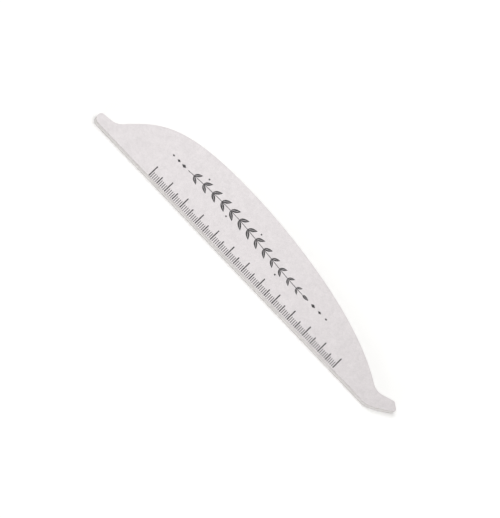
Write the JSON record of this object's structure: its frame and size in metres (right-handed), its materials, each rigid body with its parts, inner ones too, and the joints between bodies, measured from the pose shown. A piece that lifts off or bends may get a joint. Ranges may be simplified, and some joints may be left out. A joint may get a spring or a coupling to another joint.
{
  "type": "crescent nail file",
  "caption": "Cushioned crescent nail file: abrasive sheets over foam on a stiff core, with one straight edge, an arched edge, a blunt finger tab and a hooked one.",
  "frame": {"origin": "on the surface the rear face lies on, below the middle of the file's length and width", "axes": "+X along the straight edge from the blunt tab to the hooked tab, +Y from the straight edge to the crown of the arch, +Z out of the front face"},
  "size_m": [0.1896, 0.031, 0.0046],
  "materials": {
    "silicon_carbide_grit": "fine matt grains in a pale resin size coat",
    "latex_paper": "latex-filled paper, cut edge",
    "acrylic_film_adhesive": "clear tacky film",
    "eva_foam": "closed-cell foam, die cut",
    "polystyrene_board": "extruded board, satin"
  },
  "bodies": {
    "root": {"core_board": "polystyrene_board", "front_core_adhesive": "acrylic_film_adhesive", "front_foam_cushion": "eva_foam", "front_sheet_adhesive": "acrylic_film_adhesive", "front_backing_paper": "latex_paper", "front_grit_coat": "silicon_carbide_grit", "rear_core_adhesive": "acrylic_film_adhesive", "rear_foam_cushion": "eva_foam", "rear_sheet_adhesive": "acrylic_film_adhesive", "rear_backing_paper": "latex_paper", "rear_grit_coat": "silicon_carbide_grit"}
  },
  "joints": []
}
